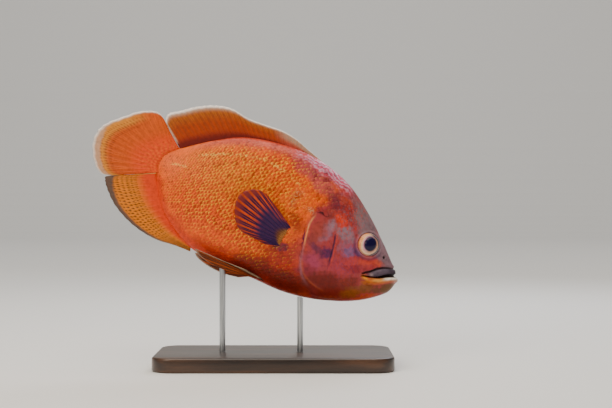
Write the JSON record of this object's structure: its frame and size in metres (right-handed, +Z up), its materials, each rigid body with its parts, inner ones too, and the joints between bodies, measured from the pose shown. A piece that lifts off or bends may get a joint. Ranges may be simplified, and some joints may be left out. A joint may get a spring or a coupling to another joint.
{
  "type": "oscar fish",
  "caption": "Life-size oscar fish in a nose-down swimming pose, held over a flat base by short rods, with rayed fins, a slightly open mouth and gill covers.",
  "frame": {"origin": "middle of the underside of the display base", "axes": "+Z up, +X the way the fish faces, +Y the fish's left side, away from the picture's camera"},
  "size_m": [0.2617, 0.104, 0.2218],
  "materials": {
    "face": "smooth moist skin, grey and mauve",
    "cheek": "smooth moist skin, crimson and mauve",
    "lip": "soft moist lip, grey",
    "jaw": "moist skin, olive and gold to brown",
    "iris": "glossy, peach and yellow",
    "pupil": "polished, near black",
    "flank": "scaly, satin, orange",
    "fin_orange": "thin rayed membrane, orange",
    "fin_dark": "thin rayed membrane, dark purple",
    "pelvic": "thin rayed membrane, brown",
    "base_wood": "dark stained, satin",
    "rod_steel": "brushed"
  },
  "bodies": {
    "root": {"head": "face", "gill_cover_left": "cheek", "gill_cover_right": "cheek", "upper_lip": "lip", "lower_jaw": "jaw", "eye_left": "iris", "eye_right": "iris", "pupil_left": "pupil", "pupil_right": "pupil", "torso": "flank", "tail_stem": "flank", "dorsal_fin": "fin_orange", "anal_fin": "fin_orange", "caudal_fin": "fin_orange", "pectoral_fin_left": "fin_dark", "pectoral_fin_right": "fin_dark", "pelvic_fin_left": "pelvic", "pelvic_fin_right": "pelvic", "stand_base": "base_wood", "stand_rod_front": "rod_steel", "stand_rod_rear": "rod_steel"}
  },
  "joints": []
}
